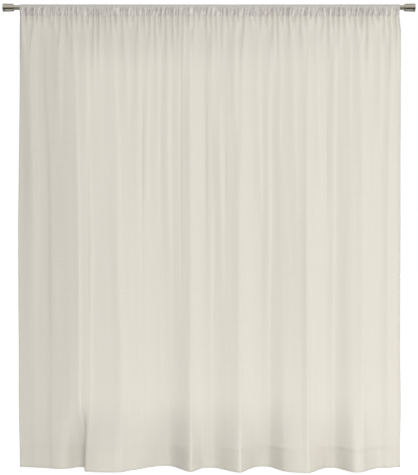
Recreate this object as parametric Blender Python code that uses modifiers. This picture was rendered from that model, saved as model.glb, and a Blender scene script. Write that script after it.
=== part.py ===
"""Sheer voile curtain gathered on a metal curtain rod.

One ivory voile panel is pushed together on a round rod, which runs through a pocket turned over
and stitched down along the panel's top edge. The cloth hangs from the rod in small gathers that
run out below the pocket, in upper folds that come and go, and in long folds that deepen down to
a turned-up hem. A short metal finial closes each end of the rod.

Units are metres. The origin is the middle of the rod's axis: +X runs along the rod to the right,
+Y away from the room, to the back of the cloth, and +Z up.
"""

from collections import namedtuple
from functools import partial
import math

import bmesh
import bpy
from mathutils import Vector

# Rod and finials
ROD_DIAMETER = 0.025
OVERALL_LENGTH = 2.170          # finial end to finial end
FINIAL_LENGTH = 0.058
FINIAL_END_DIAMETER = 0.043     # the outer end is the widest
FINIAL_NECK_DIAMETER = 0.040    # where the round shoulder starts
FINIAL_SHOULDER = 0.006         # radius of the shoulder next to the cloth
FINIAL_RIM = 0.0015             # radius of the outer end's edge
SOCKET_DEPTH = 0.020            # how far the rod goes into the finial
FIT_GAP = 0.0003                # clearance between the rod and the finials
ROUND_STEPS = 32
SHARP_ANGLE = 40                # edges that bend more than this stay sharp, in degrees

# Curtain panel
FLAT_WIDTH = 2.800              # width the voile is cut to
HUNG_WIDTH = 2.000              # width it is pushed together to on the rod
PANEL_SHIFT = 0.0035            # the panel hangs this far right of the rod's middle
TOP_EDGE = 0.017                # top of the gathers over the rod's axis
ROD_GAP = 0.0005                # the gathers' dips lie this far off the rod
DROP = 2.450                    # top edge to hem
POCKET_DEPTH = 0.060            # top edge to the pocket's seam
HEM_DEPTH = 0.115
CLOTH = 0.0012                  # the voile, drawn thicker than it is
HEM_CLOTH = 0.0024              # the turned-up hem is doubled
HEM_STEP = 0.005                # height over which the cloth thickens into the hem

# Gathers: small pleats along the rod
GATHERS = 68
GATHER_WANDER = 0.0030          # how far a gather strays from even spacing
SHORT_REACH = 0.10              # how far down the shortest and longest gathers run
LONG_REACH = 0.75
SEAM_SQUASH = 0.75              # the seam's stitches flatten the gathers by this much
SEAM_EASE = 0.040               # drop below the seam at which they have opened again

# Middle folds, which the gathers run together into
MIDDLE_FOLDS = 23
MIDDLE_DEPTH = 0.015
MIDDLE_RISE = 0.30              # drop below the seam over which they come up
MIDDLE_FADE = 0.60              # drop at which they start to fade
MIDDLE_END = 1.90               # drop at which they have gone

# Long folds
FOLD_GROWTH = 0.8               # under 1, they deepen faster near the top than near the hem
FLAP_START = 0.30               # drops between which the cloth moves sideways to its place
FLAP_END = 1.10

# Rows of the panel: angles round the rod from its back over the top, and drops below the top
# edge of the rows between the seam and the hem
POCKET_ANGLES = (195, 153, 111, 69, 27, -15)
BODY_DROPS = (0.100, 0.170, 0.280, 0.460, 0.720, 1.000, 1.400, 1.900)

# Long folds, left to right: place along the panel, depth at the hem (plus stands out to the room)
# and how far the cloth has moved sideways at the hem. Left of the middle a flap laps over the
# trough beside it, so the cloth runs back behind the flap's edge there.
LongFold = namedtuple("LongFold", "x depth shift")
LONG_FOLDS = (
    LongFold(-1.000, -0.056, -0.010),
    LongFold(-0.808, -0.009, 0.000),
    LongFold(-0.742, -0.018, 0.000),
    LongFold(-0.692, -0.060, 0.022),
    LongFold(-0.662, -0.044, 0.034),
    LongFold(-0.641, -0.006, 0.016),
    LongFold(-0.614, 0.036, -0.032),
    LongFold(-0.576, 0.054, -0.030),
    LongFold(-0.506, 0.068, 0.000),
    LongFold(-0.280, -0.077, 0.000),
    LongFold(-0.222, -0.082, 0.000),
    LongFold(-0.104, 0.054, 0.000),
    LongFold(-0.042, -0.026, 0.000),
    LongFold(0.010, -0.037, 0.000),
    LongFold(0.144, 0.070, 0.000),
    LongFold(0.240, -0.050, 0.000),
    LongFold(0.304, -0.069, 0.000),
    LongFold(0.392, 0.040, 0.000),
    LongFold(0.492, 0.080, 0.000),
    LongFold(0.620, -0.038, 0.000),
    LongFold(0.656, -0.040, 0.000),
    LongFold(0.760, 0.075, 0.000),
    LongFold(0.888, -0.030, 0.000),
    LongFold(0.935, -0.036, 0.000),
    LongFold(1.000, -0.058, 0.014),
)

# Upper folds, left to right: place along the panel, half-width, depth, and the drops between which
# the fold stands out of the cloth
UpperFold = namedtuple("UpperFold", "x half_width depth start end")
UPPER_FOLDS = (
    UpperFold(-0.909, 0.034, 0.024, 0.10, 2.10),
    UpperFold(-0.786, 0.026, 0.016, 0.12, 0.90),
    UpperFold(-0.684, 0.018, 0.026, 0.40, 2.36),
    UpperFold(-0.552, 0.030, 0.018, 0.10, 0.80),
    UpperFold(-0.464, 0.028, 0.020, 0.45, 1.60),
    UpperFold(-0.361, 0.032, 0.026, 0.15, 1.95),
    UpperFold(-0.304, 0.020, 0.016, 0.10, 1.15),
    UpperFold(-0.196, 0.032, 0.024, 0.20, 2.10),
    UpperFold(0.021, 0.030, 0.024, 0.40, 1.95),
    UpperFold(0.074, 0.022, 0.018, 0.12, 1.15),
    UpperFold(0.232, 0.026, 0.016, 0.30, 1.70),
    UpperFold(0.339, 0.030, 0.026, 0.25, 2.20),
    UpperFold(0.398, 0.020, 0.016, 0.15, 1.30),
    UpperFold(0.564, 0.026, 0.020, 0.30, 1.60),
    UpperFold(0.666, 0.030, 0.026, 0.25, 1.95),
    UpperFold(0.884, 0.026, 0.018, 0.10, 0.95),
    UpperFold(0.952, 0.030, 0.024, 0.20, 2.10),
)

# Slow swings across the panel that make the middle folds uneven: how many there are, how strong
# each is and where it starts
Swing = namedtuple("Swing", "count strength start")
SPACING_SWINGS = (Swing(3, 1.5, 0.0), Swing(7, 0.9, 2.17))
DEPTH_SWING = Swing(5, 0.25, 2.0)

# A crest or dip of the gathers: place along the panel, depth (plus out to the room for a crest,
# minus for a dip) and how far down it reaches
Gather = namedtuple("Gather", "x depth reach")

COLLECTION_NAME = "voile_curtain_on_rod"


def clear_scene():
    """Start from an empty scene."""
    for old in list(bpy.data.objects):
        bpy.data.objects.remove(old, do_unlink=True)


def make_material(name, colour, roughness, metallic):
    """One Principled material, with its colour in linear RGB."""
    material = bpy.data.materials.new(name)
    material.use_nodes = True
    shader = material.node_tree.nodes["Principled BSDF"]
    shader.inputs["Base Color"].default_value = (*colour, 1.0)
    shader.inputs["Roughness"].default_value = roughness
    shader.inputs["Metallic"].default_value = metallic
    return material


def add_object(name, mesh, material, collection):
    """Put a mesh into the curtain's collection under its own name."""
    mesh.name = name
    mesh.materials.clear()
    mesh.materials.append(material)
    piece = bpy.data.objects.new(name, mesh)
    collection.objects.link(piece)
    return piece


def smooth_step(t):
    """Ease from 0 to 1 with level ends."""
    t = min(max(t, 0.0), 1.0)
    return t * t * (3.0 - 2.0 * t)


# ---------------------------------------------------------------- curtain panel

def gather_wander(i):
    """How far crest or dip number i strays along the rod: more in some places than in others."""
    return GATHER_WANDER * math.sin(2.3 * i + 1.7 * math.sin(0.61 * i))


def gather_lines():
    """The crests and dips of the gathers along the rod, unevenly spaced and unevenly long.

    The cloth between a crest and a dip is longer than the run of rod it covers, by the panel's
    fullness, and its slant takes up the difference.
    """
    half = HUNG_WIDTH / 2
    pitch = half / GATHERS
    places = [i * pitch - half + gather_wander(i) for i in range(1, 2 * GATHERS)]
    places = [-half, *places, half]

    slant = math.sqrt((FLAT_WIDTH / HUNG_WIDTH) ** 2 - 1.0)
    golden = (math.sqrt(5) - 1) / 2
    lines = []
    for i, x in enumerate(places):
        run = min(abs(x - near) for near in places[max(i - 1, 0):i + 2] if near != x)
        side = 1 if i % 2 else -1
        share = (i * golden) % 1.0
        reach = SHORT_REACH + (LONG_REACH - SHORT_REACH) * share ** 2
        lines.append(Gather(x, side * run * slant / 2, reach))
    return lines


def fold_slope(i, key):
    """Slope of the hem's curve at a long fold: level on a crest or in a trough and at both ends."""
    if i in (0, len(LONG_FOLDS) - 1):
        return 0.0
    before, here, after = LONG_FOLDS[i - 1:i + 2]
    rise = getattr(here, key) - getattr(before, key)
    next_rise = getattr(after, key) - getattr(here, key)
    return (rise + next_rise) / (after.x - before.x) if rise * next_rise > 0 else 0.0


def long_fold(x, key):
    """Depth or sideways shift at the hem, on a smooth curve through the long folds."""
    x = min(max(x, LONG_FOLDS[0].x), LONG_FOLDS[-1].x)
    i = max(i for i, fold in enumerate(LONG_FOLDS[:-1]) if fold.x <= x)
    left, right = LONG_FOLDS[i], LONG_FOLDS[i + 1]
    width = right.x - left.x
    t = (x - left.x) / width
    rise = getattr(right, key) - getattr(left, key)
    bend = width * (fold_slope(i, key) * (1 - t) ** 2 * t - fold_slope(i + 1, key) * t ** 2 * (1 - t))
    return getattr(left, key) + rise * smooth_step(t) + bend


def swing(kind, turn):
    """One slow swing across the panel, at an angle from -pi at its left edge to pi at its right."""
    return kind.strength * math.sin(kind.count * turn + kind.start)


def middle_folds(x, drop):
    """Depth of the uneven folds between the gathers and the long folds."""
    turn = 2 * math.pi * x / HUNG_WIDTH
    wave = math.sin(MIDDLE_FOLDS * turn + sum(swing(kind, turn) for kind in SPACING_SWINGS))
    uneven = 1.0 - DEPTH_SWING.strength + swing(DEPTH_SWING, turn)
    rise = smooth_step((drop - POCKET_DEPTH) / MIDDLE_RISE)
    fade = 1.0 - smooth_step((drop - MIDDLE_FADE) / (MIDDLE_END - MIDDLE_FADE))
    return MIDDLE_DEPTH * wave * uneven * rise * fade


def upper_folds(x, drop):
    """Depth of the folds that stand out between the pocket and the hem."""
    depth = 0.0
    for fold in UPPER_FOLDS:
        if fold.start < drop < fold.end:
            across = math.exp(-((x - fold.x) / fold.half_width) ** 2)
            along = math.sin(math.pi * (drop - fold.start) / (fold.end - fold.start)) ** 0.6
            depth += fold.depth * across * along
    return depth


def hanging_point(gather, drop):
    """A point of the cloth below the rod, at a drop below the top edge."""
    below_seam = drop - POCKET_DEPTH
    growth = (below_seam / (DROP - POCKET_DEPTH)) ** FOLD_GROWTH
    relax = math.exp(-(below_seam / gather.reach) ** 2)
    squash = SEAM_SQUASH + (1.0 - SEAM_SQUASH) * smooth_step(below_seam / SEAM_EASE)
    pleat = gather.depth * squash * relax
    depth = long_fold(gather.x, "depth") * growth + pleat
    depth += middle_folds(gather.x, drop) + upper_folds(gather.x, drop)
    sideways = smooth_step((drop - FLAP_START) / (FLAP_END - FLAP_START))
    x = PANEL_SHIFT + gather.x + long_fold(gather.x, "shift") * sideways
    return Vector((x, -depth, TOP_EDGE - drop))


def pocket_point(gather, angle):
    """A point of the pocket round the rod: dips lie on the rod and crests stand off it."""
    half_step = math.radians(POCKET_ANGLES[0] - POCKET_ANGLES[1]) / 2
    clear = TOP_EDGE - CLOTH / 2 if gather.depth > 0 else ROD_DIAMETER / 2 + ROD_GAP + CLOTH / 2
    radius = clear / math.cos(half_step)
    return Vector((PANEL_SHIFT + gather.x, -radius * math.cos(angle), radius * math.sin(angle)))


def make_panel(material, collection):
    """The voile as one open sheet, from the seam's back over the rod to the hem, given its thickness.

    The first row is the turned-over edge. It lies on the seam row, and welding the two closes
    the pocket as the stitches do.
    """
    lines = gather_lines()
    hem_top = DROP - HEM_DEPTH
    drops = (POCKET_DEPTH, *BODY_DROPS, hem_top - HEM_STEP, hem_top, DROP)
    rows = [partial(hanging_point, drop=POCKET_DEPTH)]
    rows += [partial(pocket_point, angle=math.radians(a)) for a in POCKET_ANGLES]
    rows += [partial(hanging_point, drop=d) for d in drops]

    bm = bmesh.new()
    across, down = len(lines) - 1, len(rows) - 1
    bmesh.ops.create_grid(bm, x_segments=across, y_segments=down, size=1.0)
    for vert in bm.verts:
        column = round((vert.co.x + 1.0) / 2.0 * across)
        row = round((1.0 - vert.co.y) / 2.0 * down)
        vert.co = rows[row](lines[column])
    bmesh.ops.remove_doubles(bm, verts=bm.verts, dist=0.00001)
    bmesh.ops.recalc_face_normals(bm, faces=bm.faces)
    # Both sides of the cloth then bend along the same lines
    bmesh.ops.triangulate(bm, faces=bm.faces, quad_method="SHORT_EDGE")
    mesh = bpy.data.meshes.new("curtain_panel")
    bm.to_mesh(mesh)
    bm.free()

    panel = add_object("curtain_panel", mesh, material, collection)
    hem = panel.vertex_groups.new(name="hem")
    in_hem = [v.index for v in mesh.vertices if v.co.z < TOP_EDGE - hem_top + HEM_STEP / 2]
    hem.add(in_hem, 1.0, "REPLACE")
    solidify = panel.modifiers.new("voile", "SOLIDIFY")
    solidify.solidify_mode = "NON_MANIFOLD"
    solidify.thickness = HEM_CLOTH
    solidify.offset = 0.0
    solidify.nonmanifold_merge_threshold = 0.00001
    solidify.vertex_group = hem.name
    solidify.thickness_vertex_group = CLOTH / HEM_CLOTH
    return panel


# ---------------------------------------------------------------- rod and finials

def make_rod(material, collection):
    """A plain round rod, from the bottom of one finial's socket to the other's."""
    length = OVERALL_LENGTH - 2 * (FINIAL_LENGTH - SOCKET_DEPTH + FIT_GAP)
    bm = bmesh.new()
    bmesh.ops.create_cone(
        bm, cap_ends=True, segments=ROUND_STEPS,
        radius1=ROD_DIAMETER / 2, radius2=ROD_DIAMETER / 2, depth=length)
    mesh = bpy.data.meshes.new("curtain_rod")
    bm.to_mesh(mesh)
    bm.free()
    mesh.shade_smooth()
    mesh.set_sharp_from_angle(angle=math.radians(SHARP_ANGLE))
    rod = add_object("curtain_rod", mesh, material, collection)
    rod.rotation_euler = (0.0, math.radians(90), 0.0)
    return rod


def round_corner(centre_x, centre_z, radius, start, end, steps):
    """Points on a quarter round of a turned profile."""
    points = []
    for i in range(steps + 1):
        angle = math.radians(start + (end - start) * i / steps)
        points.append((centre_x + radius * math.cos(angle), centre_z + radius * math.sin(angle)))
    return points


def finial_profile():
    """Radius and height from the outer end's centre, down the side, to the bottom of the socket."""
    end_radius = FINIAL_END_DIAMETER / 2
    neck_radius = FINIAL_NECK_DIAMETER / 2
    socket_radius = ROD_DIAMETER / 2 + FIT_GAP
    profile = [(0.0, FINIAL_LENGTH)]
    profile += round_corner(end_radius - FINIAL_RIM, FINIAL_LENGTH - FINIAL_RIM, FINIAL_RIM, 90, 0, 3)
    profile += round_corner(neck_radius - FINIAL_SHOULDER, FINIAL_SHOULDER, FINIAL_SHOULDER, 0, -90, 5)
    profile += [(socket_radius, 0.0), (socket_radius, SOCKET_DEPTH), (0.0, SOCKET_DEPTH)]
    return profile


def make_finial(name, side, material, collection):
    """A turned cap that slips over the rod's end, with side -1 for the left and +1 for the right."""
    profile = finial_profile()
    mesh = bpy.data.meshes.new(name)
    edges = [(i, i + 1) for i in range(len(profile) - 1)]
    mesh.from_pydata([(r, 0.0, z) for r, z in profile], edges, [])
    finial = add_object(name, mesh, material, collection)
    screw = finial.modifiers.new("turning", "SCREW")
    screw.steps = ROUND_STEPS
    screw.render_steps = ROUND_STEPS
    screw.use_merge_vertices = True
    screw.merge_threshold = 0.00001
    screw.use_smooth_shade = True
    finial.location.x = side * (OVERALL_LENGTH / 2 - FINIAL_LENGTH)
    finial.rotation_euler.y = side * math.radians(90)
    return finial


def build():
    """Make the panel, the rod and both finials."""
    clear_scene()
    collection = bpy.data.collections.new(COLLECTION_NAME)
    bpy.context.scene.collection.children.link(collection)
    voile = make_material("ivory_voile", (0.66, 0.62, 0.52), 0.85, 0.0)
    metal = make_material("satin_nickel", (0.42, 0.37, 0.28), 0.28, 1.0)
    make_panel(voile, collection)
    make_rod(metal, collection)
    make_finial("finial_left", -1, metal, collection)
    make_finial("finial_right", 1, metal, collection)


build()
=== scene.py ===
"""Sheer voile curtain, gathered on a metal curtain rod by a sewn rod pocket.

The script dresses the four solid parts of the curtain: the rod, its two finials and the hanging
panel. It follows the curtain as it is put together, from the rod to the hem. Units are metres.
The rod's axis is the X axis, +Y is to the back, away from the room, and +Z is up.
"""

import math

import bmesh
import bpy
import numpy as np
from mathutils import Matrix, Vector


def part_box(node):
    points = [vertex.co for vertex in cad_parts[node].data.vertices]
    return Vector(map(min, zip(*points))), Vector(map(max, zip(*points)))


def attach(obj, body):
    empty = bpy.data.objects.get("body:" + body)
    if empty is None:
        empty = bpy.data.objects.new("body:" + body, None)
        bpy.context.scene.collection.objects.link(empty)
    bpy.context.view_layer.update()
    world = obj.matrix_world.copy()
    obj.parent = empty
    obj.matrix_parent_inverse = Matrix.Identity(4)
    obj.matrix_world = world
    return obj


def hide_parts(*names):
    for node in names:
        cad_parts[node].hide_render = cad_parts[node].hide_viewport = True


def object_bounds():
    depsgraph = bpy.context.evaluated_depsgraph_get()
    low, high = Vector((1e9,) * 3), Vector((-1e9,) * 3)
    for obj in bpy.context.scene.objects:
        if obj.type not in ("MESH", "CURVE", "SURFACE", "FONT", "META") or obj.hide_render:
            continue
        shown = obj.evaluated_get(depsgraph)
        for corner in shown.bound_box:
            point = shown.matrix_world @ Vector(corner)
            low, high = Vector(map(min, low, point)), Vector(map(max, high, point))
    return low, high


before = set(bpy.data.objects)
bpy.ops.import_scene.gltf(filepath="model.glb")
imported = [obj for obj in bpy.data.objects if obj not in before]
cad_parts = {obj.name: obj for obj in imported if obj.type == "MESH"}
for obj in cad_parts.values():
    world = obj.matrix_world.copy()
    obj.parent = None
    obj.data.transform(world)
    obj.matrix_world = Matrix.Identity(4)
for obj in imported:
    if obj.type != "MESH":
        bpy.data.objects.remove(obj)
solid_low, solid_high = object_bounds()


# ------------------------------------------------------------------ curtain rod
# A plain round steel tube with a satin nickel finish that has a warm tone. It is drawn, so its
# grain runs along it. The curtain slides on it, and its ends sit in the finials' sockets.

rod_low, rod_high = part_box("curtain_rod")
rod_radius = (rod_high.z - rod_low.z) / 2
tube_wall = 0.0006
tube_sides = 96
tube_lengths = 40               # rings of faces along the tube
sharp_edge = math.radians(32)   # faces that meet at more than this keep a sharp edge

nickel_light = (0.62, 0.58, 0.49)
nickel_dark = (0.50, 0.46, 0.38)
nickel_roughness = (0.13, 0.22)
drawn_grain = (6.0, 900.0, 900.0)


def link(tree, source, target):
    """Join an output of one node to an input of another."""
    tree.links.new(source, target)


def node(tree, kind, **values):
    """Add a node, with its inputs set by name."""
    made = tree.nodes.new(kind)
    for name, value in values.items():
        made.inputs[name.replace("_", " ")].default_value = value
    return made


def fed(tree, kind, source, **values):
    """Add a node as above, and join an output of another to its first input."""
    made = node(tree, kind, **values)
    link(tree, source, made.inputs[0])
    return made


def colour_between(tree, share, first, second):
    """A colour between two, where each is three numbers or an output of a node."""
    mix = tree.nodes.new("ShaderNodeMix")
    mix.data_type = "RGBA"
    link(tree, share, mix.inputs[0])
    for colour, target in ((first, mix.inputs[6]), (second, mix.inputs[7])):
        if isinstance(colour, tuple):
            target.default_value = (*colour, 1.0)
        else:
            link(tree, colour, target)
    return mix.outputs[2]


def satin_nickel(name, grain):
    """Satin nickel, with hair lines where grain holds how much finer they are along X, Y and Z."""
    material = bpy.data.materials.new(name)
    material.use_nodes = True
    tree = material.node_tree
    metal = tree.nodes["Principled BSDF"]
    metal.inputs["Metallic"].default_value = 1.0
    metal.inputs["Anisotropic"].default_value = 0.35

    place = node(tree, "ShaderNodeTexCoord").outputs["Object"]
    drawn = fed(tree, "ShaderNodeMapping", place, Scale=grain).outputs["Vector"]
    hair = fed(tree, "ShaderNodeTexNoise", drawn, Scale=1.0, Detail=4.0, Roughness=0.6)
    haze = fed(tree, "ShaderNodeTexNoise", place, Scale=26.0, Detail=3.0)
    tone = colour_between(tree, haze.outputs["Fac"], nickel_dark, nickel_light)
    link(tree, tone, metal.inputs["Base Color"])

    bright, dull = nickel_roughness
    polish = fed(tree, "ShaderNodeMapRange", hair.outputs["Fac"], To_Min=bright, To_Max=dull)
    link(tree, polish.outputs["Result"], metal.inputs["Roughness"])
    relief = node(tree, "ShaderNodeBump", Strength=0.12, Distance=0.0002)
    link(tree, hair.outputs["Fac"], relief.inputs["Height"])
    link(tree, relief.outputs["Normal"], metal.inputs["Normal"])
    return material


def face_out(mesh):
    """Turn the faces of a closed mesh so that they all look outwards."""
    work = bmesh.new()
    work.from_mesh(mesh)
    bmesh.ops.recalc_face_normals(work, faces=work.faces)
    work.to_mesh(mesh)
    work.free()


def finished_piece(name, mesh, material):
    """Give a mesh its finish and put it in the scene as a piece."""
    mesh.materials.append(material)
    piece = bpy.data.objects.new(name, mesh)
    bpy.context.scene.collection.objects.link(piece)
    return piece


def turned_piece(name, profile, sides, material):
    """A piece turned round the X axis from (x, radius) points, where a radius of 0 closes it."""
    angles = np.linspace(0, 2 * math.pi, sides, endpoint=False)
    points, rings = [], []
    for x, radius in profile:
        if radius == 0:
            rings.append([len(points)] * sides)
            points.append((x, 0.0, 0.0))
        else:
            rings.append(list(range(len(points), len(points) + sides)))
            points += [(x, radius * math.cos(a), radius * math.sin(a)) for a in angles]
    faces = []
    for ring, following in zip(rings, rings[1:]):
        for i in range(sides):
            j = (i + 1) % sides
            corners = (ring[i], ring[j], following[j], following[i])
            faces.append(tuple(dict.fromkeys(corners)))
    mesh = bpy.data.meshes.new(name)
    mesh.from_pydata(points, [], faces)
    face_out(mesh)
    mesh.shade_smooth()
    mesh.set_sharp_from_angle(angle=sharp_edge)
    return finished_piece(name, mesh, material)


drawn_nickel = satin_nickel("drawn_nickel", drawn_grain)
bore_radius = rod_radius - tube_wall
rod_stops = np.linspace(rod_low.x, rod_high.x, tube_lengths + 1)
rod_profile = [(rod_low.x, bore_radius)]
rod_profile += [(x, rod_radius) for x in rod_stops]
rod_profile += [(rod_high.x, bore_radius)]
rod_profile += [(x, bore_radius) for x in rod_stops[::-1]]
rod = turned_piece("rod_tube", rod_profile, tube_sides, drawn_nickel)
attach(rod, "root")
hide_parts("curtain_rod")


# ------------------------------------------------------------------ finials
# A short turned metal cap on each end of the rod. It flares a little to its outer end, has a
# rounded shoulder next to the cloth and a blind socket that the rod's end is pushed into.

finial_sides = 96
finial_neck = 0.0200            # radius behind the round shoulder
finial_shoulder = 0.0060
finial_rim = 0.0013             # radius of the rounding at the outer end
finial_dish = 0.0008            # how far the outer face is sunk inside it
finial_socket = 0.0200
socket_gap = 0.0003
groove_inset = 0.0060           # from the outer end to the fine line turned next to it
groove_half = 0.0009            # half the line's width
groove_depth = 0.0005
groove_lip = 0.0002             # how far its outer side stands up
turned_grain = (900.0, 40.0, 40.0)

turned_nickel = satin_nickel("turned_nickel", turned_grain)


def corner(x, radius, size, start, end, steps):
    """Points on a rounded corner, from one angle to another in degrees."""
    turn = np.radians(np.linspace(start, end, steps + 1))
    return [(x + size * math.cos(a), radius + size * math.sin(a)) for a in turn]


def finial_profile(length, end_radius):
    """The cap's section, from the middle of its outer face round to the bottom of its socket."""
    taper = (end_radius - finial_neck) / (length - finial_shoulder)
    groove_at = length - groove_inset
    groove_radius = end_radius - taper * groove_inset
    section = [(length - finial_dish, end_radius * share) for share in (0.0, 0.3, 0.6, 0.85)]
    section.append((length, end_radius - 1.6 * finial_rim))
    section += corner(length - finial_rim, end_radius - finial_rim, finial_rim, 0, 90, 6)
    section.append((groove_at + groove_half, groove_radius + groove_lip))
    section.append((groove_at, groove_radius - groove_depth))
    section.append((groove_at - groove_half, groove_radius))
    for share in (0.25, 0.5, 0.75):
        x = groove_at - groove_half + (finial_shoulder - groove_at) * share
        section.append((x, finial_neck + taper * (x - finial_shoulder)))
    shoulder_middle = finial_neck - finial_shoulder
    section += corner(finial_shoulder, shoulder_middle, finial_shoulder, 90, 180, 10)
    socket_radius = rod_radius + socket_gap
    section += [(0.0, socket_radius), (finial_socket, socket_radius), (finial_socket, 0.0)]
    return section


for side, side_name in ((-1, "left"), (1, "right")):
    low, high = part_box(f"finial_{side_name}")
    inner_end = high.x if side < 0 else low.x
    section = finial_profile(high.x - low.x, (high.z - low.z) / 2)
    section = [(inner_end + side * x, radius) for x, radius in section]
    finial = turned_piece(f"finial_cap_{side_name}", section, finial_sides, turned_nickel)
    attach(finial, "root")
    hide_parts(f"finial_{side_name}")


# ------------------------------------------------------------------ curtain panel
# One width of sheer ivory voile, a plain weave of fine thread. Its top is turned over the rod and
# stitched down as a pocket, which gathers it in small pleats. Its sides have a narrow hem, and its
# bottom edge is turned up into a deep one.

flat_width = 2.800
hung_width = 2.000
half_width = hung_width / 2
panel_shift = 0.0035            # the panel hangs this far right of the rod's middle
top_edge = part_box("curtain_panel")[1].z
drop_length = 2.450
pocket_depth = 0.060            # top edge to the pocket's seam
hem_depth = 0.115
hem_row = drop_length - hem_depth
turned_in = 0.010               # raw edge folded in at the pocket's seam and at the hem
side_hem = 0.012
layer_gap = 0.0012              # between the layers of a hem
cloth_thickness = 0.0004

# Long folds, left to right: place and depth at the hem, where plus stands out to the room.
long_folds = np.array([
    # place   depth
    (-1.000, -0.056),
    (-0.808, -0.009),
    (-0.506, 0.068),
    (-0.280, -0.077),
    (-0.222, -0.082),
    (-0.098, 0.054),
    (-0.042, -0.026),
    (0.010, -0.037),
    (0.152, 0.070),
    (0.240, -0.050),
    (0.300, -0.069),
    (0.392, 0.048),
    (0.500, 0.080),
    (0.620, -0.038),
    (0.652, -0.040),
    (0.760, 0.075),
    (0.888, -0.030),
    (0.935, -0.036),
    (1.000, -0.058),
])
even_growth = 0.26              # share of their depth that grows evenly down the cloth
open_out = (0.82, 0.18)         # share of the drop where they open out, and over which

# Left of the middle a flap laps over the trough beside it, low down only: place, what it adds to
# the depth at the hem, and how far the cloth has moved sideways there.
flap = np.array([
    # place   depth   shift
    (-0.808, 0.000, 0.000),
    (-0.750, -0.023, 0.000),
    (-0.705, -0.077, 0.026),
    (-0.680, -0.069, 0.042),
    (-0.660, -0.037, 0.026),
    (-0.636, -0.002, -0.016),
    (-0.600, 0.005, -0.016),
    (-0.506, 0.000, 0.000),
])
flap_drops = (2.08, 2.42)       # where the flap starts to lap over, and where it has done so

# Ridges that stand out between the long folds, about left to right: half-width, then the place
# and the height in millimetres at each of four drops.
ridge_drops = np.array([0.30, 0.80, 1.30, 1.90])
ridges = [
    # half    places                            heights
    (0.030, (-0.939, -0.924, -0.918, -0.918), (20, 22, 8, 2)),
    (0.020, (-0.792, -0.789, -0.789, -0.789), (10, 0, 0, 0)),
    (0.015, (-0.704, -0.696, -0.690, -0.686), (1, 6, 5, 5)),
    (0.007, (-0.640, -0.639, -0.638, -0.636), (0, -1, -1, -1)),
    (0.020, (-0.648, -0.640, -0.623, -0.629), (8, 3, 4, 3)),
    (0.022, (-0.502, -0.484, -0.474, -0.454), (6, 6, 7, 4)),
    (0.016, (-0.434, -0.429, -0.429, -0.429), (5, 0, 0, 0)),
    (0.020, (-0.372, -0.376, -0.372, -0.370), (13, 8, 2, 2)),
    (0.016, (-0.323, -0.328, -0.332, -0.334), (5, 8, 0, 0)),
    (0.018, (-0.270, -0.274, -0.276, -0.276), (6, 6, 0, 0)),
    (0.020, (-0.214, -0.219, -0.209, -0.204), (10, 10, 4, 0)),
    (0.022, (-0.254, -0.254, -0.258, -0.260), (0, 0, 0, 2)),
    (0.014, (-0.165, -0.164, -0.164, -0.164), (3, 0, 0, 0)),
    (0.018, (-0.104, -0.097, -0.094, -0.096), (6, 9, 5, 8)),
    (0.018, (0.016, 0.022, 0.022, 0.022), (6, 0, 0, 0)),
    (0.022, (0.052, 0.056, 0.064, 0.066), (0, 10, 4, 0)),
    (0.018, (0.008, 0.008, 0.008, 0.006), (0, 0, 6, 2)),
    (0.018, (0.136, 0.140, 0.142, 0.144), (10, 0, 0, 0)),
    (0.022, (0.178, 0.176, 0.172, 0.170), (0, 7, 0, 0)),
    (0.018, (0.158, 0.158, 0.158, 0.162), (0, 1, 9, 8)),
    (0.018, (0.257, 0.265, 0.272, 0.276), (6, 7, 0, 0)),
    (0.018, (0.316, 0.312, 0.312, 0.309), (5, 8, 9, 4)),
    (0.015, (0.376, 0.368, 0.366, 0.366), (3, 2, 0, 0)),
    (0.018, (0.446, 0.451, 0.458, 0.460), (5, 3, 1, 0)),
    (0.016, (0.522, 0.516, 0.512, 0.518), (3, 8, 10, 9)),
    (0.018, (0.570, 0.578, 0.582, 0.584), (5, 8, 0, 0)),
    (0.018, (0.557, 0.557, 0.557, 0.557), (0, 0, 6, 3)),
    (0.018, (0.660, 0.655, 0.653, 0.648), (10, 9, 4, 4)),
    (0.014, (0.741, 0.741, 0.741, 0.741), (3, 0, 0, 0)),
    (0.020, (0.798, 0.808, 0.810, 0.810), (10, 10, 6, 8)),
    (0.016, (0.899, 0.896, 0.896, 0.896), (8, 1, 0, 0)),
    (0.014, (0.954, 0.941, 0.939, 0.941), (8, 6, 4, 4)),
]

# Creases between them, given in the same way with heights below 0, and then two broad swells.
creases_and_swells = [
    # half    places                            heights
    (0.008, (-0.352, -0.352, -0.352, -0.352), (0, -4, -1, 0)),
    (0.008, (-0.148, -0.148, -0.148, -0.148), (-2, -4, -2, 0)),
    (0.016, (-0.020, -0.020, -0.020, -0.020), (-3, -7, -1, 0)),
    (0.008, (0.086, 0.086, 0.086, 0.086), (-1, -3, 0, 0)),
    (0.008, (0.497, 0.497, 0.497, 0.497), (0, -1, -1, 0)),
    (0.008, (0.620, 0.620, 0.620, 0.620), (0, -3, 0, 0)),
    (0.030, (-0.880, -0.862, -0.856, -0.850), (-5, -7, -7, -4)),
    (0.050, (-0.480, -0.480, -0.480, -0.462), (0, 0, 7, 7)),
    (0.050, (0.522, 0.522, 0.520, 0.524), (0, 5, 10, 6)),
]
ridge_flanks = (1.5, 0.5)       # a ridge is steeper on its right than on its left
ridge_start = (0.08, 0.26)      # drops between which the ridges rise out of the pleats

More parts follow.
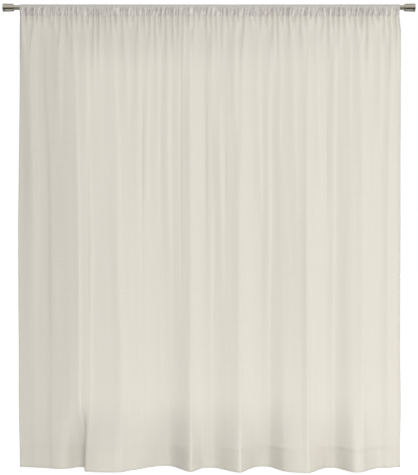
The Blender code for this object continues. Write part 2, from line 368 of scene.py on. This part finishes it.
# How far each side edge strays from upright, by the drop below the top edge.
edge_sway = np.array([
    # drop    left    right
    (0.000, 0.0000, 0.0000),
    (0.060, 0.0000, 0.0005),
    (0.135, -0.0010, 0.0080),
    (0.350, 0.0000, 0.0080),
    (0.820, -0.0065, 0.0070),
    (1.140, -0.0115, 0.0080),
    (1.600, -0.0080, 0.0066),
    (1.850, -0.0059, 0.0060),
    (2.010, -0.0068, 0.0092),
    (2.170, -0.0080, 0.0125),
    (2.450, -0.0098, 0.0145),
])
edge_reach = 0.10               # how far in from the edge the cloth goes with it

gathers = 68                    # small pleats along the rod
gather_seed = 11
gather_wander = 0.0042
gather_run = (0.04, 0.24)       # run below the seam: the shortest, and what the longest adds
gather_pull = 0.3               # largest share of the way to the next fold that one bends
gather_size = (0.7, 1.25)       # smallest and largest, as a share of the pleats' height
gather_lean = (0.004, 0.004)    # mean and spread of the lean to the right above the seam
gather_width = (1.05, 0.5)      # share of the pitch at the seam, and what it gains on the way
gather_fade = (0.55, 0.9)       # share of a pleat's end where it starts to fade, and over which
lean_rise = 0.04                # height above the seam over which a pleat comes to its lean
pleat_level = 0.2               # drop below the seam over which the pleats' mean rises to 0
pleat_height = 0.0115           # half a pleat's height at the seam


def ease(t):
    """Ease from 0 to 1 with level ends."""
    t = np.clip(t, 0.0, 1.0)
    return t * t * (3.0 - 2.0 * t)


def smooth_curve(x, places, values):
    """A smooth curve through the values at the places, level at each crest and trough."""
    rise, run = np.diff(values), np.diff(places)
    slope = np.zeros(len(values))
    same_way = rise[:-1] * rise[1:] > 0
    slope[1:-1][same_way] = ((rise[:-1] + rise[1:]) / (run[:-1] + run[1:]))[same_way]
    x = np.clip(x, places[0], places[-1])
    i = np.clip(np.searchsorted(places, x, side="right") - 1, 0, len(run) - 1)
    t = (x - places[i]) / run[i]
    bend = run[i] * (slope[i] * (1 - t) ** 2 * t - slope[i + 1] * t ** 2 * (1 - t))
    return values[i] + rise[i] * ease(t) + bend


def pleat_lines():
    """Place, end, pull, height and lean of each gather. Short ones bend to the longer folds."""
    chance = np.random.default_rng(gather_seed)
    pitch = hung_width / gathers
    place = -half_width + pitch * (np.arange(gathers) + 0.5)
    place += gather_wander * chance.uniform(-1, 1, gathers)
    fold_top = np.array([places[0] for half, places, heights in ridges if heights[0] > 0])
    nearest = fold_top[np.abs(place[:, None] - fold_top).argmin(axis=1)]
    end = pocket_depth + gather_run[0] + gather_run[1] * chance.uniform(0, 1, gathers) ** 1.5
    pull = (nearest - place) * chance.uniform(0.0, gather_pull, gathers)
    height = chance.uniform(gather_size[0], gather_size[1], gathers)
    lean = gather_lean[0] + gather_lean[1] * chance.normal(0, 1, gathers)
    return np.column_stack([place, end, pull, height, lean])


pleats = pleat_lines()


def pleat_wave(x, drop):
    """Height of the small pleats, from about -1 to 1, where x and drop are grids."""
    wave = np.zeros_like(x)
    half = 0.5 * hung_width / gathers
    below = drop - pocket_depth
    for place, end, pull, height, lean in pleats:
        run = ease(below / (end - pocket_depth))
        fade = 1.0 - ease((drop - gather_fade[0] * end) / (gather_fade[1] * end))
        tilt = lean * ease(-below / lean_rise)
        width = half * (gather_width[0] + gather_width[1] * run)
        off = (x - place - pull * run - tilt) / width
        wave += height * fade * (0.5 + 0.5 * np.cos(math.pi * np.clip(off, -1, 1)))
    return 2.0 * wave - (1.0 - ease(below / pleat_level))


def streaks(x, drop, pitch, length, seed):
    """Small uneven creases that run down the cloth, from -1 to 1, and a little past its sides."""
    chance = np.random.default_rng(seed)
    across = int(hung_width * 1.2 / pitch) + 4
    along = int(drop_length / length) + 4
    grid = chance.uniform(-1, 1, (along, across))
    column = (x + hung_width * 0.6) / pitch + 1
    row = drop / length + 1
    i, j = np.floor(column).astype(int), np.floor(row).astype(int)
    i, j = np.clip(i, 0, across - 2), np.clip(j, 0, along - 2)
    u, v = ease(column - i), ease(row - j)
    upper = grid[j, i] * (1 - u) + grid[j, i + 1] * u
    lower = grid[j + 1, i] * (1 - u) + grid[j + 1, i + 1] * u
    return upper * (1 - v) + lower * v


def hanging_cloth(place, drop):
    """X and depth of the cloth below the rod, for grids of places and drops."""
    below = np.maximum(drop - pocket_depth, 0.0)
    share = below / (drop_length - pocket_depth)
    growth = even_growth * share ** 0.6
    growth = growth + (1 - even_growth) * ease((share - open_out[0]) / open_out[1])
    depth = smooth_curve(place, long_folds[:, 0], long_folds[:, 1]) * growth
    start, end = flap_drops
    lap = ease((drop - start) / (end - start))
    depth += smooth_curve(place, flap[:, 0], flap[:, 1]) * lap

    rise = ease((drop - ridge_start[0]) / (ridge_start[1] - ridge_start[0]))
    for half, places, heights in ridges + creases_and_swells:
        line = smooth_curve(drop, ridge_drops, np.array(places))
        height = 0.001 * smooth_curve(drop, ridge_drops, np.array(heights, float))
        flank = np.where(place < line, ridge_flanks[0], ridge_flanks[1]) * half
        depth += rise * height * np.exp(-((place - line) / flank) ** 2)

    # The pleats are strong just below the seam and soon get lower. Streaks of three sizes lie
    # over them: fine ones, finer ones near the seam only, and broad ones.
    strength = (0.85 + 0.15 * ease(below / 0.04)) * (0.33 + 0.67 * np.exp(-below / 0.055))
    depth += pleat_height * strength * pleat_wave(place, drop)
    fine = streaks(place, drop, pitch=0.016, length=0.22, seed=3)
    depth += (0.0009 * np.exp(-below / 0.9) + 0.0003) * fine * ease(below / 0.05)
    finer = streaks(place, drop, pitch=0.0085, length=0.15, seed=7)
    depth += 0.0020 * np.exp(-below / 0.06) * finer
    broad = streaks(place, drop, pitch=0.043, length=0.50, seed=5)
    depth += 0.0016 * broad * ease(below / 0.2)

    x = panel_shift + place + smooth_curve(place, flap[:, 0], flap[:, 2]) * lap
    for side, column in ((-1, 1), (1, 2)):
        sway = np.interp(drop, edge_sway[:, 0], edge_sway[:, column])
        x += sway * np.exp(-((place - side * half_width) / edge_reach) ** 2)
    drift = streaks(place, drop, pitch=0.25, length=0.55, seed=8)
    x += 0.0030 * drift * ease(below / 0.4)
    return x, depth


# The columns run across the cloth and stand closer where the flap turns back. At each side they
# go on round the edge and return on the back, as the side hem; behind is 1 there.
panel_columns = 560
flap_columns = 60
flap_places = (-0.70, -0.56)
front_columns = np.unique(np.round(np.concatenate([
    np.linspace(-half_width, half_width, panel_columns),
    np.linspace(flap_places[0], flap_places[1], flap_columns),
]), 5))
hem_columns = half_width - side_hem * np.array([1.0, 0.6, 0.25])
returned = len(hem_columns)
columns = np.concatenate([-hem_columns, front_columns, hem_columns[::-1]])
behind = np.concatenate([np.ones(returned), np.zeros(len(front_columns)), np.ones(returned)])
column_flat = columns * (flat_width / hung_width)
column_flat[:returned] = -flat_width - column_flat[:returned]
column_flat[-returned:] = flat_width - column_flat[-returned:]

# The rows stand close below the seam and further apart down to the hem, which has equal ones.
first_step = 0.0045
step_growth = 0.06              # what each metre below the seam adds to a step
longest_step = 0.030
body_rows = [pocket_depth]
while body_rows[-1] < hem_row:
    row_step = first_step + step_growth * (body_rows[-1] - pocket_depth)
    body_rows.append(body_rows[-1] + min(row_step, longest_step))
below_seam = np.array(body_rows) - pocket_depth
body_rows = pocket_depth + below_seam * (hem_row - pocket_depth) / below_seam[-1]
hem_rows = np.linspace(hem_row, drop_length, 7)[1:]

leaves_rod = 15                 # degrees below the rod's middle, where the cloth leaves it
smooth_top = (40, 45)           # degrees from the rod's top where pleats start, and over which
rod_gap = 0.0010
belly_height = 0.0125           # how far the pocket's pleats stand out below the rod
belly_mix = (0.8, 1.1)          # shares of the gathers' pleats and of small streaks in them
belly_behind = -0.6             # share of them at the back, where they go the other way
belly_swell = 0.0022            # how far the pocket swells there as a whole


def pocket_rows(place):
    """The pocket's rows of X, depth and height, from its folded-in edge round to the seam."""
    rows = []
    flat_top = np.zeros_like(place)
    pleat = np.clip((pleat_wave(place, flat_top) + 1.0) / 2.2, 0.0, 1.0)
    dip, crest = rod_radius + rod_gap, top_edge - cloth_thickness
    seam_x, seam_depth = hanging_cloth(place, flat_top + pocket_depth)
    leave = math.radians(leaves_rod)

    def beside_rod(angle):
        """Radius of the pocket: smooth over the top of the rod, pleated in front and behind."""
        pleated = ease((abs(math.degrees(angle) - 90) - smooth_top[0]) / smooth_top[1])
        radius = dip + (crest - dip) * (1 - (1 - pleat) * (0.15 + 0.85 * pleated))
        return radius - cloth_thickness * behind

    def below_rod(t, sign):
        """A row between the rod and the seam, where t is 0 and 1. The sign is -1 at the back."""
        radius = beside_rod(math.radians(90 - sign * (90 + leaves_rod)))
        start = top_edge + radius * math.sin(leave)
        height = top_edge - (start + (pocket_depth - start) * t)
        folds = belly_mix[0] * pleat_wave(place, flat_top + pocket_depth * (0.35 + 0.65 * t))
        small = streaks(place, flat_top + pocket_depth * t, pitch=0.0100, length=0.15, seed=7)
        folds = folds + belly_mix[1] * small
        belly = belly_height * math.sin(math.pi * t) * folds * (1 if sign > 0 else belly_behind)
        depth = sign * radius * math.cos(leave) * (1 - t) ** 1.15 + seam_depth * t ** 1.3
        depth += belly + sign * belly_swell * math.sin(math.pi * t)
        if sign < 0:
            depth -= layer_gap * t ** 4
        clear = np.sqrt(np.maximum(dip ** 2 - height ** 2, 0.0))
        depth = np.maximum(depth, clear) if sign > 0 else np.minimum(depth, -clear)
        x = panel_shift + place + (seam_x - panel_shift - place) * t
        return x, depth - sign * cloth_thickness * behind, height

    folded_in = [(pocket_depth - turned_in, 0.5), (pocket_depth, 0.5), (pocket_depth + 0.002, 0.8)]
    for drop, share in folded_in:
        rows.append((seam_x, seam_depth - layer_gap * share, np.full_like(place, top_edge - drop)))
    for t in np.linspace(1.0, 0.0, 6)[:-1]:
        rows.append(below_rod(t, -1))
    for angle in np.radians(np.linspace(180 + leaves_rod, -leaves_rod, 17)):
        radius = beside_rod(angle)
        rows.append((panel_shift + place, radius * math.cos(angle), radius * math.sin(angle)))
    for t in np.linspace(0.0, 1.0, 8)[1:-1]:
        rows.append(below_rod(t, 1))
    return rows


def panel_grid(place):
    """X, depth and height of the panel, row by row, and the runs of its rows and of the seam.

    A run is a length along the cloth from the rod's top, and less than 0 at the back of the pocket.
    """
    rows = pocket_rows(place)
    seam = len(rows)
    side_gap = layer_gap * 0.8 * behind

    def cloth_row(drop, back, down=0.0):
        """A row of the cloth at a drop, moved back by a gap, and down at the fold of the hem."""
        x, depth = hanging_cloth(place, np.full_like(place, drop))
        return x, depth - back, np.full_like(place, top_edge - drop - down)

    rows += [cloth_row(drop, side_gap) for drop in np.concatenate([body_rows, hem_rows])]
    rows.append(cloth_row(drop_length, layer_gap, cloth_thickness))
    rows += [cloth_row(drop, 2 * layer_gap - side_gap) for drop in hem_rows[::-1]]
    rows.append(cloth_row(hem_row, 2 * layer_gap - side_gap))
    rows.append(cloth_row(hem_row + 0.001, layer_gap))
    rows.append(cloth_row(hem_row + turned_in, layer_gap))
    grid = np.array([np.column_stack(row) for row in rows])
    steps = np.linalg.norm(np.diff(grid[:, returned:-returned], axis=0), axis=2).mean(axis=1)
    length = np.concatenate([[0.0], np.cumsum(steps)])
    run = length - length[grid[..., 2].mean(axis=1).argmax()]
    return grid, run, run[seam]


def cloth_piece(name, grid, flat_u, flat_v, material):
    """A piece from a grid of X, depth and height, with its flat size as the UV map."""
    down, across = grid.shape[:2]
    points = np.stack([grid[..., 0], -grid[..., 1], grid[..., 2]], axis=-1).reshape(-1, 3)
    index = np.arange(down * across).reshape(down, across)
    faces = np.stack([index[1:, :-1], index[1:, 1:], index[:-1, 1:], index[:-1, :-1]], axis=-1)
    faces = faces.reshape(-1, 4)
    mesh = bpy.data.meshes.new(name)
    mesh.from_pydata(points.tolist(), [], faces.tolist())
    uv = mesh.uv_layers.new(name="flat_cloth")
    flat = np.stack(np.meshgrid(flat_u, flat_v), axis=-1).reshape(-1, 2)
    uv.data.foreach_set("uv", flat[faces.ravel()].astype(np.float32).ravel())
    mesh.shade_smooth()
    return finished_piece(name, mesh, material)


voile_light = (0.770, 0.752, 0.695)
voile_dark = (0.750, 0.732, 0.675)
voile_open = (0.262, 0.238)     # share that is gaps between threads, at thin and thick slubs
voile_through = 0.25            # share of the threads' light that comes from behind
thread_pitch = 0.00055
warp_slubs = (420.0, 1.6, 1.0)  # how fine the slubs are across the cloth and along it
weft_slubs = (2.2, 380.0, 1.0)
slub_range = (0.7, 1.3)         # from thin to thick slubs, as the sum of both kinds
painted_crease_shade = (0.60, 0.575, 0.57)  # painted shade: the gathered cloth's colour in its creases
painted_crest_highlight = (0.90, 0.88, 0.85)  # painted highlight: the same cloth's colour on the crests between them
painted_shade_over_rod = 0.27         # share of the way from the painted shade to the painted highlight over the rod
painted_crease_lean = math.radians(8)
painted_crease_size = (90.0, 10.0, 1.0)    # how fine the painted creases are across the cloth and along it
painted_crease_range = (0.36, 0.66)    # noise that makes a painted crease, and a painted crest
rod_reach = (0.031, 0.023)      # length from the rod's top where the cloth lies smooth on it
seam_reach = (0.001, -0.003)    # past the seam, where the painted shade and highlights end and the plain cloth is full


def worked_out(tree, operation, *values):
    """A number worked out of one or two others, such as their sum."""
    made = tree.nodes.new("ShaderNodeMath")
    made.operation = operation
    for value, target in zip(values, made.inputs):
        link(tree, value, target)
    return made.outputs[0]


def ranged(tree, value, start, end, to_start=0.0, to_end=1.0):
    """A number moved from one range to another, and kept in it."""
    made = fed(tree, "ShaderNodeMapRange", value, From_Min=start, From_Max=end,
               To_Min=to_start, To_Max=to_end)
    return made.outputs["Result"]


def shader_between(tree, share, first, second):
    """A shader between two, by a share that is a number or an output of a node."""
    mix = tree.nodes.new("ShaderNodeMixShader")
    if isinstance(share, float):
        mix.inputs[0].default_value = share
    else:
        link(tree, share, mix.inputs[0])
    link(tree, first.outputs[0], mix.inputs[1])
    link(tree, second.outputs[0], mix.inputs[2])
    return mix


def ivory_voile(seam_run):
    """Sheer ivory voile: matt threads that pass some light, with fine gaps between them."""
    material = bpy.data.materials.new("ivory_voile")
    material.use_nodes = True
    tree = material.node_tree
    threads = tree.nodes["Principled BSDF"]
    threads.inputs["Roughness"].default_value = 0.82
    threads.inputs["Specular IOR Level"].default_value = 0.25
    threads.inputs["Sheen Weight"].default_value = 0.12
    threads.inputs["Sheen Roughness"].default_value = 0.45
    flat_map = node(tree, "ShaderNodeUVMap")
    flat_map.uv_map = "flat_cloth"
    flat = flat_map.outputs["UV"]

    def slub(size):
        """Uneven thickness of the threads that run one way."""
        stretch = fed(tree, "ShaderNodeMapping", flat, Scale=size).outputs["Vector"]
        noise = fed(tree, "ShaderNodeTexNoise", stretch, Scale=1.0, Detail=3.0, Roughness=0.55)
        return noise.outputs["Fac"]

    slubs = worked_out(tree, "ADD", slub(warp_slubs), slub(weft_slubs))
    plain = colour_between(tree, ranged(tree, slubs, *slub_range), voile_dark, voile_light)

    # In the pocket the gathered cloth gets painted shade in its creases and painted highlights on
    # its crests, and a mostly dark painted shade over the rod.
    lean = fed(tree, "ShaderNodeMapping", flat, Rotation=(0.0, 0.0, painted_crease_lean))
    narrow = fed(tree, "ShaderNodeMapping", lean.outputs["Vector"], Scale=painted_crease_size)
    painted_crease_noise = fed(tree, "ShaderNodeTexNoise", narrow.outputs["Vector"],
                Scale=1.0, Detail=1.0, Distortion=0.4)
    down = fed(tree, "ShaderNodeSeparateXYZ", flat).outputs["Y"]
    run = worked_out(tree, "ABSOLUTE", down)
    # Painted shade and highlight: a leaning noise darkens the creases and lightens the crests, and
    # a fixed share darkens the cloth over the rod.
    painted_lightness = node(tree, "ShaderNodeMix")
    link(tree, ranged(tree, run, *rod_reach), painted_lightness.inputs[0])
    link(tree, ranged(tree, painted_crease_noise.outputs["Fac"], *painted_crease_range), painted_lightness.inputs[2])
    painted_lightness.inputs[3].default_value = painted_shade_over_rod
    painted_shade_colour = colour_between(tree, painted_lightness.outputs[0], painted_crease_shade, painted_crest_highlight)
    painted_pocket_share = ranged(tree, run, seam_run + seam_reach[0], seam_run + seam_reach[1])
    colour = colour_between(tree, painted_pocket_share, plain, painted_shade_colour)
    link(tree, colour, threads.inputs["Base Color"])

    weave = []
    for direction in ("X", "Y"):
        wave = fed(tree, "ShaderNodeTexWave", flat, Scale=1.0 / thread_pitch / 20.0, Distortion=0.6)
        wave.bands_direction = direction
        weave.append(wave.outputs["Fac"])
    relief = node(tree, "ShaderNodeBump", Strength=0.15, Distance=0.0002)
    link(tree, worked_out(tree, "MAXIMUM", *weave), relief.inputs["Height"])
    link(tree, relief.outputs["Normal"], threads.inputs["Normal"])

    through = fed(tree, "ShaderNodeBsdfTranslucent", colour)
    lit = shader_between(tree, voile_through, threads, through)
    gaps = node(tree, "ShaderNodeBsdfTransparent")
    open_share = ranged(tree, slubs, *slub_range, *voile_open)
    cloth = shader_between(tree, open_share, lit, gaps)
    link(tree, cloth.outputs[0], tree.nodes["Material Output"].inputs["Surface"])
    return material


grid, row_run, seam_run = panel_grid(columns)
panel = cloth_piece("voile_panel", grid, column_flat, -row_run, ivory_voile(seam_run))
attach(panel, "root")
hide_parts("curtain_panel")


# ------------------------------------------------------------------ stitching
# Lockstitch in ivory thread, sewn by machine through all the layers. One line closes the pocket
# under the rod, one holds the bottom hem, and one runs down each side hem.

stitch_length = 0.0026
stitch_pitch = 0.0034
stitch_shape = [(0.0, 0.45), (0.2, 1.0), (0.8, 1.0), (1.0, 0.45)]  # shares of length and radius
thread_radius = 0.00020
thread_sides = 5
thread_lift = 1.2 * thread_radius
thread_dark = (0.66, 0.63, 0.545)
thread_light = (0.76, 0.73, 0.645)
hem_line = hem_row + 0.003
side_line = half_width - side_hem * 0.8
side_ends = 0.004               # from the pocket's seam and the hem's fold to the side lines
line_points = (2400, 1200)      # points on a line across the cloth, and on one down it

ivory_thread = bpy.data.materials.new("ivory_thread")
ivory_thread.use_nodes = True
thread_tree = ivory_thread.node_tree
thread_face = thread_tree.nodes["Principled BSDF"]
thread_face.inputs["Roughness"].default_value = 0.55
thread_face.inputs["Sheen Weight"].default_value = 0.1
thread_place = node(thread_tree, "ShaderNodeTexCoord").outputs["Object"]
twist = fed(thread_tree, "ShaderNodeTexNoise", thread_place, Scale=2600.0, Detail=2.0)
thread_tone = colour_between(thread_tree, twist.outputs["Fac"], thread_dark, thread_light)
link(thread_tree, thread_tone, thread_face.inputs["Base Color"])


def stitch_line(name, line):
    """Stitches end to end along a line of points, lifted clear of the cloth."""
    steps = np.linalg.norm(np.diff(line, axis=0), axis=1)
    run = np.concatenate([[0.0], np.cumsum(steps)])
    points, faces = [], []
    turn = np.linspace(0, 2 * math.pi, thread_sides, endpoint=False)
    shares = np.array([share for share, size in stitch_shape])
    for start in np.arange(stitch_pitch, run[-1] - stitch_pitch, stitch_pitch):
        marks = start + stitch_length * shares
        middle = np.column_stack([np.interp(marks, run, line[:, k]) for k in range(3)])
        along = middle[-1] - middle[0]
        along /= np.linalg.norm(along)
        side = np.cross(along, (0.0, 1.0, 0.0))
        side /= np.linalg.norm(side)
        out = np.cross(side, along)
        circle = np.outer(np.cos(turn), side) + np.outer(np.sin(turn), out)
        first = len(points)
        for centre, (share, size) in zip(middle, stitch_shape):
            points += (centre + thread_radius * size * circle).tolist()
        last = first + (len(stitch_shape) - 1) * thread_sides
        for a in range(first, last, thread_sides):
            for i in range(thread_sides):
                j = (i + 1) % thread_sides
                faces.append((a + i, a + j, a + thread_sides + j, a + thread_sides + i))
        faces.append(tuple(first + i for i in range(thread_sides))[::-1])
        faces.append(tuple(last + i for i in range(thread_sides)))
    mesh = bpy.data.meshes.new(name)
    mesh.from_pydata(points, [], faces)
    face_out(mesh)
    mesh.shade_smooth()
    piece = finished_piece(name, mesh, ivory_thread)
    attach(piece, "root")
    return piece


def cloth_line(place, drop):
    """Points on the room side of the cloth, for matching lists of places and drops."""
    x, depth = hanging_cloth(place, drop)
    return np.column_stack([x, -(depth + thread_lift), top_edge - drop])


across = np.linspace(-half_width, half_width, line_points[0])
for name, drop in (("pocket_stitches", pocket_depth), ("hem_stitches", hem_line)):
    stitch_line(name, cloth_line(across, np.full_like(across, drop)))
down = np.linspace(pocket_depth + side_ends, drop_length - side_ends, line_points[1])
for name, place in (("side_stitches_left", -side_line), ("side_stitches_right", side_line)):
    stitch_line(name, cloth_line(np.full_like(down, place), down))


# ------------------------------------------------------------------ floor, light and camera
# A plain pale floor just under the hem and a white studio, with softboxes in front, low in front,
# at the right and over the rod. Between the threads a soft warm glow shows from behind, shaded at
# both sides, above and below. The camera looks straight at the curtain's middle.

floor_drop = 0.027
floor_half = 30.0
floor_pale = (0.40, 0.40, 0.395, 1.0)
floor_glow = 0.86

camera_distance = 5.5
camera_height = -1.2114
view_height = 2.5023            # height of the picture at the rod

pure_white = (1.0, 1.0, 1.0, 1.0)
lamp_white = (1.0, 0.985, 0.955)
studio_white = (*lamp_white, 1.0)
glow_colour = (1.0, 0.955, 0.81, 1.0)
softboxes = [
    # name            place                 faces              width and height, watts
    ("front_softbox", (1.4, -8.0, -1.0), (0.0, 0.0, -1.2), (3.0, 3.0), 344.0),
    ("low_softbox", (0.42, -0.75, -2.46), (0.42, 0.0, -2.46), (2.6, 0.2), 2.3),
    ("right_softbox", (3.4, -1.5, -1.2), (0.0, 0.0, -1.2), (1.5, 2.2), 30.0),
    ("top_softbox", (0.0, 0.0, 1.0), (0.0, 0.0, 0.0), (2.2, 0.3), 9.0),
]

room_light = 0.62               # radiance from the room side
back_light = 0.25               # radiance from behind the cloth
room_to_back = 0.35             # the one turns to the other over this much of Y each way
top_falloff = 0.26              # how much less light comes from above than from below
gloss_bands = [                 # height, from straight down to straight up, and radiance
    (0.0, 0.75), (0.045, 0.50), (0.09, 0.10), (0.15, 0.03), (0.24, 0.05), (0.33, 0.25),
    (0.45, 0.40), (0.62, 0.75), (0.75, 1.00), (0.90, 0.75), (1.0, 0.50),
]
shade_behind = (0.42, 0.64)     # radiance that shows between the threads, at the left and right
glow_behind = 0.71              # the same behind the middle of the cloth
shade_sides = (-0.17, 0.17)     # share of the view's direction along X at those two sides
glow_fades = [
    # axis, its share of the view's direction where the glow starts, and where it is full
    ("X", -0.136, -0.118),
    ("Z", 0.190, 0.155),
    ("Z", -0.185, -0.148),
]

floor_z = solid_low.z - floor_drop
floor_mesh = bpy.data.meshes.new("pale_floor")
floor_corners = [(-1, -1), (1, -1), (1, 1), (-1, 1)]
floor_points = [(x * floor_half, y * floor_half, floor_z) for x, y in floor_corners]
floor_mesh.from_pydata(floor_points, [], [(0, 1, 2, 3)])
pale = bpy.data.materials.new("pale_floor")
pale.use_nodes = True
pale_tree = pale.node_tree
matt = pale_tree.nodes["Principled BSDF"]
matt.inputs["Base Color"].default_value = floor_pale
matt.inputs["Roughness"].default_value = 0.9
matt.inputs["Emission Color"].default_value = pure_white
matt.inputs["Emission Strength"].default_value = floor_glow
past_cloth = node(pale_tree, "ShaderNodeLightPath").outputs["Transparent Depth"]
no_floor = node(pale_tree, "ShaderNodeBsdfTransparent")
floor_face = shader_between(pale_tree, past_cloth, matt, no_floor)
link(pale_tree, floor_face.outputs[0], pale_tree.nodes["Material Output"].inputs["Surface"])
floor = finished_piece("pale_floor", floor_mesh, pale)
floor.visible_diffuse = False
floor.visible_glossy = False
floor.visible_transmission = False
floor.visible_shadow = False

for name, place, aim, size, power in softboxes:
    softbox = bpy.data.lights.new(name, "AREA")
    softbox.shape = "RECTANGLE"
    softbox.size, softbox.size_y = size
    softbox.energy = power
    softbox.color = lamp_white
    lamp = bpy.data.objects.new(name, softbox)
    bpy.context.scene.collection.objects.link(lamp)
    lamp.location = place
    lamp.rotation_euler = (Vector(aim) - Vector(place)).to_track_quat("-Z", "Y").to_euler()
    lamp.visible_camera = False
    lamp.visible_glossy = False

studio = bpy.data.worlds.new("white_studio")
bpy.context.scene.world = studio
studio.use_nodes = True
sky = studio.node_tree
sky.nodes.clear()
heading = node(sky, "ShaderNodeTexCoord").outputs["Generated"]
parts = fed(sky, "ShaderNodeSeparateXYZ", heading).outputs

# What lights the cloth: brighter from the room than from the back, and from below than from above.
from_room = fed(sky, "ShaderNodeMapRange", parts["Y"], From_Min=-room_to_back,
                From_Max=room_to_back, To_Min=room_light, To_Max=back_light)
from_room.interpolation_type = "SMOOTHSTEP"
less_above = ranged(sky, parts["Z"], -1.0, 1.0, 1.0 + top_falloff, 1.0 - top_falloff)
soft_white = node(sky, "ShaderNodeBackground", Color=studio_white)
soft_level = worked_out(sky, "MULTIPLY", from_room.outputs["Result"], less_above)
link(sky, soft_level, soft_white.inputs["Strength"])

# What the metal mirrors: dark and light bands, one above the other.
bands = fed(sky, "ShaderNodeValToRGB", ranged(sky, parts["Z"], -1.0, 1.0))
while len(bands.color_ramp.elements) < len(gloss_bands):
    bands.color_ramp.elements.new(0.5)
for element, (position, value) in zip(bands.color_ramp.elements, gloss_bands):
    element.position = position
    element.color = (value, value, value, 1.0)
gloss_white = fed(sky, "ShaderNodeBackground", bands.outputs["Color"])

# What shows between the threads: the glow, which fades to the shade at its edges.
fades = []
for axis, start, full in glow_fades:
    fade = fed(sky, "ShaderNodeMapRange", parts[axis], From_Min=start, From_Max=full)
    fade.interpolation_type = "SMOOTHSTEP"
    fades.append(fade.outputs["Result"])
two_fades = worked_out(sky, "MULTIPLY", fades[0], fades[1])
all_fades = worked_out(sky, "MULTIPLY", two_fades, fades[2])
shade = ranged(sky, parts["X"], *shade_sides, *shade_behind)
glow = fed(sky, "ShaderNodeMapRange", all_fades, To_Max=glow_behind)
link(sky, shade, glow.inputs["To Min"])
glow_white = node(sky, "ShaderNodeBackground", Color=glow_colour)
link(sky, glow.outputs["Result"], glow_white.inputs["Strength"])

shown_white = node(sky, "ShaderNodeBackground", Color=pure_white, Strength=1.0)
path = node(sky, "ShaderNodeLightPath").outputs
gloss_or_soft = shader_between(sky, path["Is Glossy Ray"], soft_white, gloss_white)
white_or_glow = shader_between(sky, path["Transparent Depth"], shown_white, glow_white)
all_round = shader_between(sky, path["Is Camera Ray"], gloss_or_soft, white_or_glow)
studio_out = node(sky, "ShaderNodeOutputWorld")
link(sky, all_round.outputs[0], studio_out.inputs["Surface"])

lens = bpy.data.cameras.new("camera")
lens.sensor_width = 36.0
lens.lens = lens.sensor_width * camera_distance / view_height
camera = bpy.data.objects.new("camera", lens)
camera.location = (0.0, -camera_distance, camera_height)
camera.rotation_euler = (math.radians(90), 0.0, 0.0)
bpy.context.scene.collection.objects.link(camera)
bpy.context.scene.camera = camera
bpy.context.scene.view_settings.view_transform = "Standard"
